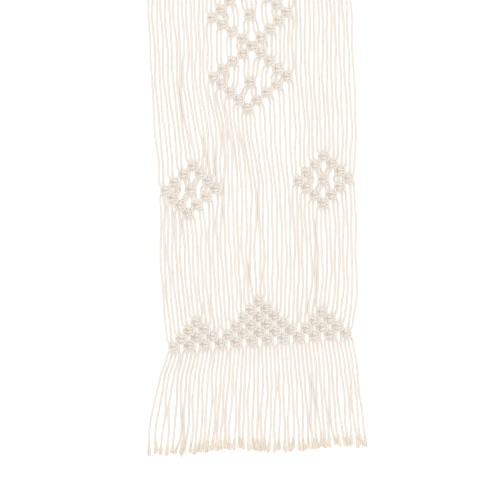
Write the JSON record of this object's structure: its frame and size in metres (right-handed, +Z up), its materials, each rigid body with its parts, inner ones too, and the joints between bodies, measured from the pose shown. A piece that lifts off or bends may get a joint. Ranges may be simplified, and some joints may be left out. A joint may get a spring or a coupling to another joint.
{
  "type": "table runner",
  "caption": "Macrame table runner of undyed cotton cord, knotted in open diamonds and peaked end bands, with a loose cord fringe at both ends",
  "frame": {"origin": "on the underside, at the middle of the runner's length and width", "axes": "+X across the runner, +Y along its length, +Z up out of the table"},
  "size_m": [0.3456, 1.316, 0.0105],
  "materials": {
    "cotton_cord": "matte"
  },
  "bodies": {
    "root": {"cord_01": "cotton_cord", "cord_02": "cotton_cord", "cord_03": "cotton_cord", "cord_04": "cotton_cord", "cord_05": "cotton_cord", "cord_06": "cotton_cord", "cord_07": "cotton_cord", "cord_08": "cotton_cord", "cord_09": "cotton_cord", "cord_10": "cotton_cord", "cord_11": "cotton_cord", "cord_12": "cotton_cord", "cord_13": "cotton_cord", "cord_14": "cotton_cord", "cord_15": "cotton_cord", "cord_16": "cotton_cord", "cord_17": "cotton_cord", "cord_18": "cotton_cord", "cord_19": "cotton_cord", "cord_20": "cotton_cord", "cord_21": "cotton_cord", "cord_22": "cotton_cord", "cord_23": "cotton_cord", "cord_24": "cotton_cord", "cord_25": "cotton_cord", "cord_26": "cotton_cord", "cord_27": "cotton_cord", "cord_28": "cotton_cord", "cord_29": "cotton_cord", "cord_30": "cotton_cord", "cord_31": "cotton_cord", "cord_32": "cotton_cord", "cord_33": "cotton_cord", "cord_34": "cotton_cord", "cord_35": "cotton_cord", "cord_36": "cotton_cord", "cord_37": "cotton_cord", "cord_38": "cotton_cord", "cord_39": "cotton_cord", "cord_40": "cotton_cord", "cord_41": "cotton_cord", "cord_42": "cotton_cord", "cord_43": "cotton_cord", "cord_44": "cotton_cord", "cord_45": "cotton_cord", "cord_46": "cotton_cord", "cord_47": "cotton_cord", "cord_48": "cotton_cord"}
  },
  "joints": []
}
